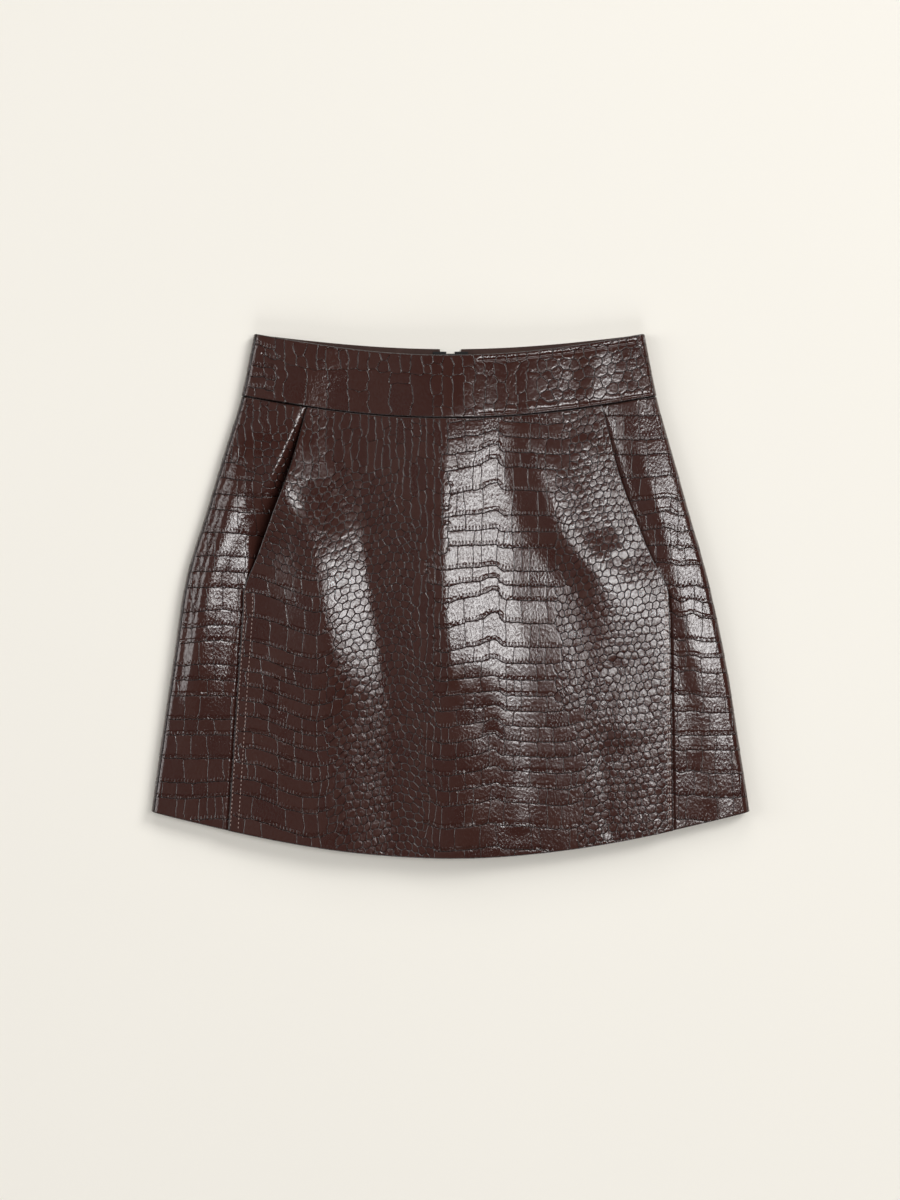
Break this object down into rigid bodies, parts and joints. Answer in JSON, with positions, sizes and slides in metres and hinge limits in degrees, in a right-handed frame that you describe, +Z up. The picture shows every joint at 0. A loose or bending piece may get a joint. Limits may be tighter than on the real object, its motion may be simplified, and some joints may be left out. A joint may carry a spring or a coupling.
{
  "type": "mini skirt",
  "caption": "A-line mini skirt in dark brown embossed leather, laid flat, with a deep waistband, slanted side pockets and a centre back zip.",
  "frame": {"origin": "middle of the underside that the laid skirt rests on, halfway between its side folds and between its waist corners and the lowest point of its hem", "axes": "+X to the right of the laid skirt seen from above, +Y from hem to waist, +Z up from the surface that it lies on"},
  "size_m": [0.51, 0.446, 0.0291],
  "materials": {
    "leather": "glossy scale-embossed",
    "zip_tape": "woven",
    "zip_coil": "satin",
    "zip_metal": "satin"
  },
  "bodies": {
    "skirt": {"front_waistband": "leather", "back_waistband_left": "leather", "back_waistband_right": "leather", "front_panel": "leather", "side_panel_left": "leather", "side_panel_right": "leather", "back_panel_left": "leather", "back_panel_right": "leather", "zip_tape_left": "zip_tape", "zip_tape_right": "zip_tape", "zip_chain": "zip_coil", "zip_slider": "zip_metal"},
    "pull": {"zip_pull": "zip_metal"}
  },
  "joints": [
    {"name": "pull_swing", "type": "hinge", "parent": "skirt", "child": "pull", "pos_m": [0, 0.2005, 0.00105], "axis": [1, 0, 0], "range_deg": [0, 150]}
  ]
}
